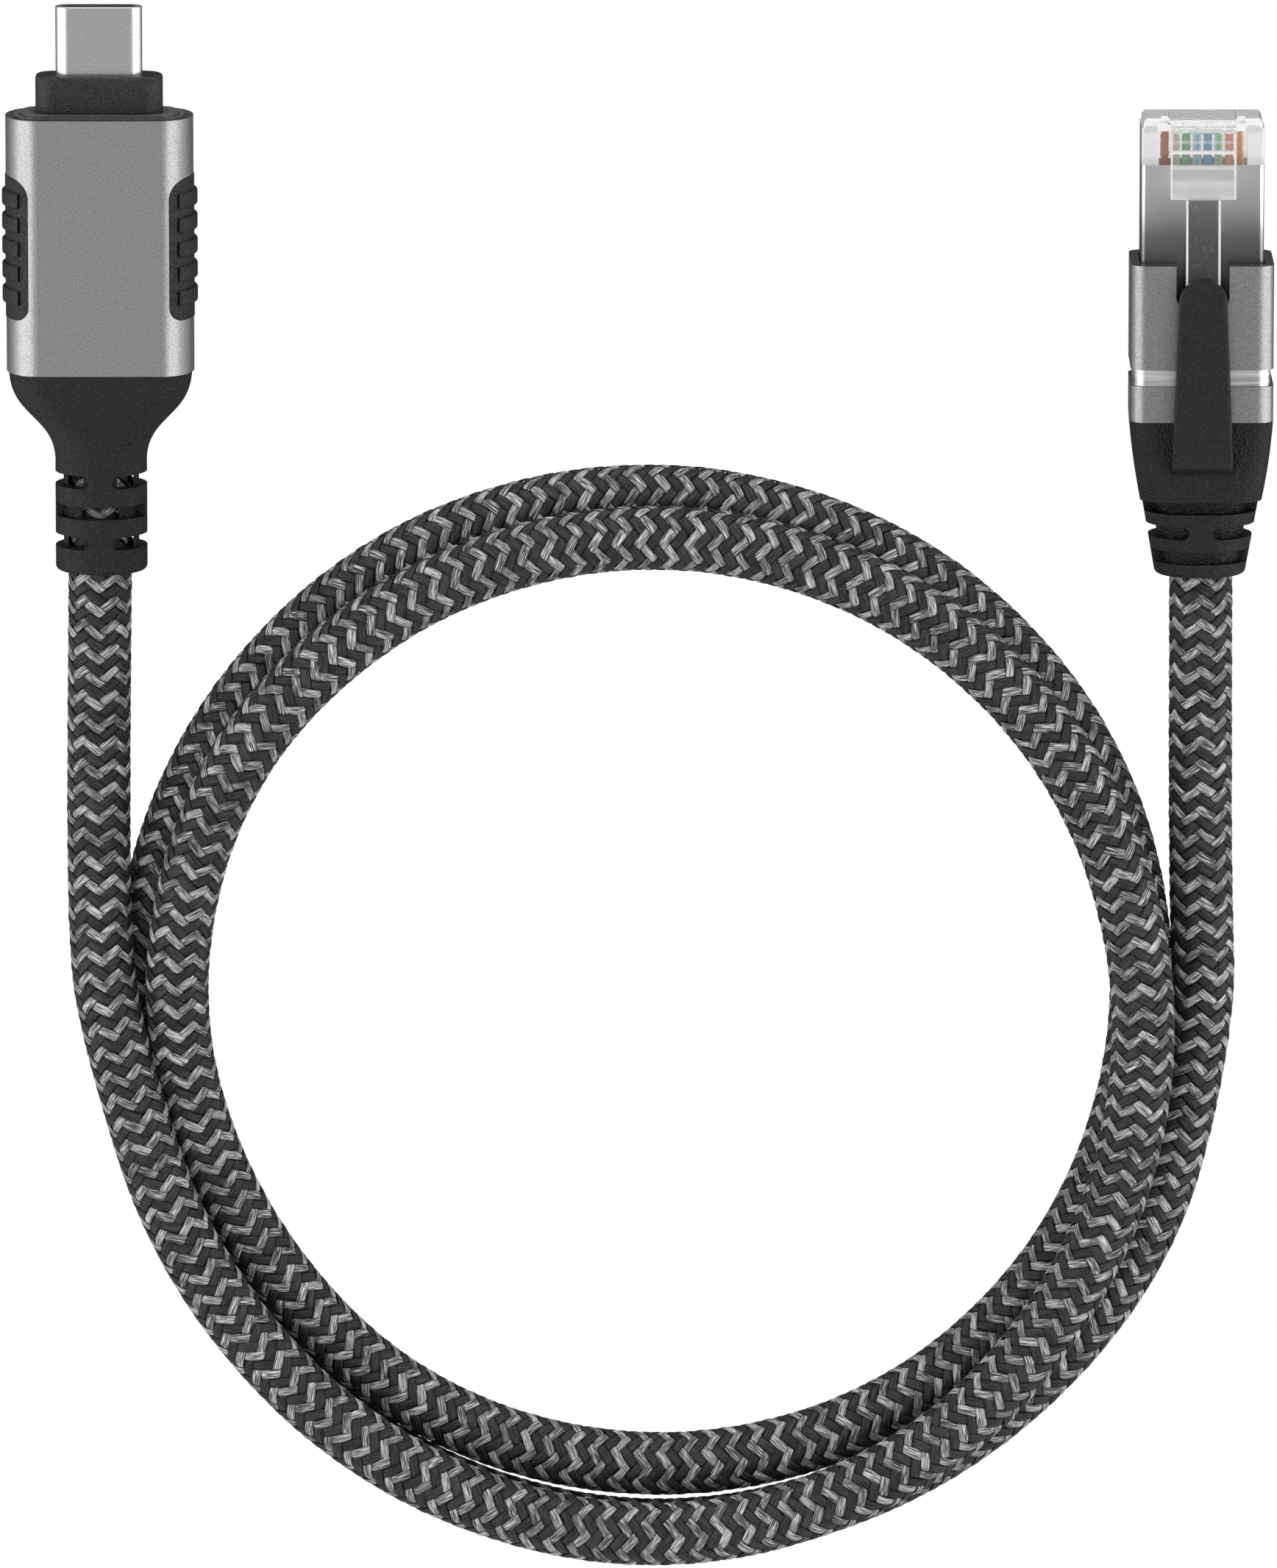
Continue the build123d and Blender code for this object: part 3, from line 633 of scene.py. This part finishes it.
WIRE_COLOURS = {
    "brown": (0.55, 0.13, 0.05),
    "green": (0.01, 0.40, 0.14),
    "blue": (0.01, 0.25, 0.60),
    "orange": (0.95, 0.18, 0.02),
}
WHITE_SKIN = (0.82, 0.81, 0.80)
STRIPES = {
    "brown": (0.62, 0.45, 0.40),
    "green": (0.03, 0.55, 0.25),
    "blue": (0.02, 0.48, 0.90),
    "orange": (0.90, 0.25, 0.05),
}
STRIPE_HALF_WIDTH = (0.16 * MM, 0.24 * MM)
WIRE_END = 1 * MM  # the length at a wire's front that gives its middle
for name, colour in WIRE_COLOURS.items():
    solid = Look("skin_" + name, colour, 0.35)
    tint = solid.noise(900, 2.0)
    solid.set("Base Color", solid.ramp(tint, (0.3, tuple(c * 0.85 for c in colour)), (0.7, colour)))
    solid.on("wire_" + name)
    striped = Look("skin_white_" + name, WHITE_SKIN, 0.35)
    corners = [v.co for v in nodes["wire_white_" + name].data.vertices]
    wire_front = max(co.y for co in corners)
    end_xs = [co.x for co in corners if co.y > wire_front - WIRE_END]
    distance = striped.distance_from("X", (min(end_xs) + max(end_xs)) / 2)
    stripe = striped.between(distance, *STRIPE_HALF_WIDTH, 1.0, 0.0)
    striped.set("Base Color", striped.mix(stripe, WHITE_SKIN, STRIPES[name]))
    striped.on("wire_white_" + name)

INNER_LEFT, INNER_RIGHT = -53.0 * MM, -49.0 * MM
INNER_HUES = ((0.0, (0.55, 0.12, 0.04)), (0.5, (0.75, 0.75, 0.72)), (1.0, (0.04, 0.16, 0.42)))
inner = Look("inner_wires", (0.45, 0.10, 0.06), 0.4)
hues = inner.between(inner.axis("X"), INNER_LEFT, INNER_RIGHT)
inner.set("Base Color", inner.ramp(hues, *INNER_HUES))
inner.on("usb_inner_wires")

board = Look("board_laminate", (0.015, 0.12, 0.05), 0.35)
weave = board.noise(2500, 2.0)
board.set("Base Color", board.ramp(weave, (0.3, (0.010, 0.09, 0.035)), (0.7, (0.02, 0.15, 0.06))))
board.bump(weave, 0.01, 0.5)
board.on("usb_board")
resin = moulded("chip_resin", (0.016, 0.016, 0.017), 0.55, 4000, 0.008)
resin.on("usb_controller_chip", "usb_magnetics")
can = Look("crystal_can", (0.70, 0.70, 0.68), 0.25, 1.0)
can.set("Roughness", can.between(can.noise(1200, 2.0), 0.3, 0.7, 0.18, 0.34))
can.on("usb_crystal")
ceramic = Look("capacitor_ceramic", (0.45, 0.33, 0.20), 0.45)
fired = ceramic.noise(1500, 2.0)
ceramic.set("Base Color", ceramic.ramp(fired, (0.3, (0.38, 0.26, 0.15)), (0.7, (0.52, 0.40, 0.26))))
ceramic.on("usb_board_capacitors")

# ---------------------------------------------------------------- floor and light

FLOOR_HALF = 3.0
FLOOR_Z = -0.3 * MM
FLOOR_CORNERS = ((-1, -1), (1, -1), (1, 1), (-1, 1))
floor_mesh = bpy.data.meshes.new("floor")
floor_mesh.from_pydata(
    [(i * FLOOR_HALF, j * FLOOR_HALF, FLOOR_Z) for i, j in FLOOR_CORNERS], [], [(0, 1, 2, 3)]
)
floor = bpy.data.objects.new("floor", floor_mesh)
scene.collection.objects.link(floor)
floor_mat = bpy.data.materials.new("floor_white")
floor_mat.use_nodes = True
floor_tree = floor_mat.node_tree
floor_tree.nodes.clear()
glow = floor_tree.nodes.new("ShaderNodeEmission")
glow.inputs["Color"].default_value = (1, 1, 1, 1)
glow.inputs["Strength"].default_value = 1.0
floor_out = floor_tree.nodes.new("ShaderNodeOutputMaterial")
floor_tree.links.new(glow.outputs[0], floor_out.inputs["Surface"])
floor_mesh.materials.append(floor_mat)
floor.visible_glossy = False
floor.visible_diffuse = False
floor.visible_shadow = False

# How bright the room is to reflections and soft light, from straight down to straight up.
ROOM = (
    (0.0, 0.08), (0.12, 0.10), (0.22, 0.50), (0.40, 0.75),
    (0.89, 0.82), (0.965, 0.46), (1.0, 0.32),
)
world = bpy.data.worlds.new("studio")
scene.world = world
world.use_nodes = True
wt = world.node_tree
wt.nodes.clear()
seen = wt.nodes.new("ShaderNodeBackground")
seen.inputs["Color"].default_value = (1, 1, 1, 1)
ambient = wt.nodes.new("ShaderNodeBackground")
direction = wt.nodes.new("ShaderNodeTexCoord")
split = wt.nodes.new("ShaderNodeSeparateXYZ")
upward = wt.nodes.new("ShaderNodeMapRange")
upward.inputs["From Min"].default_value = -1.0
room = wt.nodes.new("ShaderNodeValToRGB")
while len(room.color_ramp.elements) < len(ROOM):
    room.color_ramp.elements.new(0.5)
for element, (position, level) in zip(room.color_ramp.elements, ROOM):
    element.position = position
    element.color = (level, level, level, 1)
path = wt.nodes.new("ShaderNodeLightPath")
choose = wt.nodes.new("ShaderNodeMixShader")
world_out = wt.nodes.new("ShaderNodeOutputWorld")
wt.links.new(direction.outputs["Generated"], split.inputs[0])
wt.links.new(split.outputs["Z"], upward.inputs["Value"])
wt.links.new(upward.outputs["Result"], room.inputs["Fac"])
wt.links.new(room.outputs["Color"], ambient.inputs["Color"])
wt.links.new(path.outputs["Is Camera Ray"], choose.inputs[0])
wt.links.new(ambient.outputs[0], choose.inputs[1])
wt.links.new(seen.outputs[0], choose.inputs[2])
wt.links.new(choose.outputs[0], world_out.inputs["Surface"])


LIGHT_AIM = Vector((0.0, -0.05, 0.0))


def softbox(name, place, size, radiance):
    """A rectangular light aimed at the coil."""
    data = bpy.data.lights.new(name, "AREA")
    data.shape = "RECTANGLE"
    data.size, data.size_y = size
    data.energy = radiance * math.pi * size[0] * size[1]
    light = bpy.data.objects.new(name, data)
    scene.collection.objects.link(light)
    light.location = place
    light.rotation_euler = (LIGHT_AIM - Vector(place)).to_track_quat("-Z", "Y").to_euler()
    light.visible_camera = False


softbox("strip_left", (-0.32, -0.05, 0.16), (0.16, 0.5), 1.2)
softbox("strip_right", (0.32, -0.05, 0.16), (0.16, 0.5), 1.3)
softbox("front_fill", (0.0, 0.45, 0.12), (1.2, 0.25), 0.8)

scene.view_settings.view_transform = "Standard"
scene.view_settings.look = "None"
